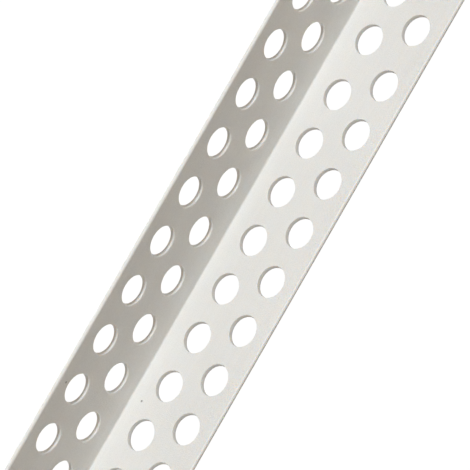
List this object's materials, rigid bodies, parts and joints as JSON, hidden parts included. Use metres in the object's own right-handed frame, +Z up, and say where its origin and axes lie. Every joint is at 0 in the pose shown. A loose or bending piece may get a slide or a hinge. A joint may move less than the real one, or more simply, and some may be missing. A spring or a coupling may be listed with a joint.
{
  "type": "drywall corner bead",
  "caption": "Long thin right-angle trim of rigid PVC with a rounded nose and staggered rows of round nail holes in both flanges, for covering an outside corner of a drywall wall.",
  "frame": {"origin": "middle of the bead's length and depth, at the underside of the flange it lies on", "axes": "+X along the bead, +Y from the lower flange's free edge to the nose, +Z up"},
  "size_m": [2.4384, 0.0318, 0.0316],
  "materials": {
    "pvc": "satin, warm white extruded PVC"
  },
  "bodies": {
    "root": {"corner_bead": "pvc"}
  },
  "joints": []
}
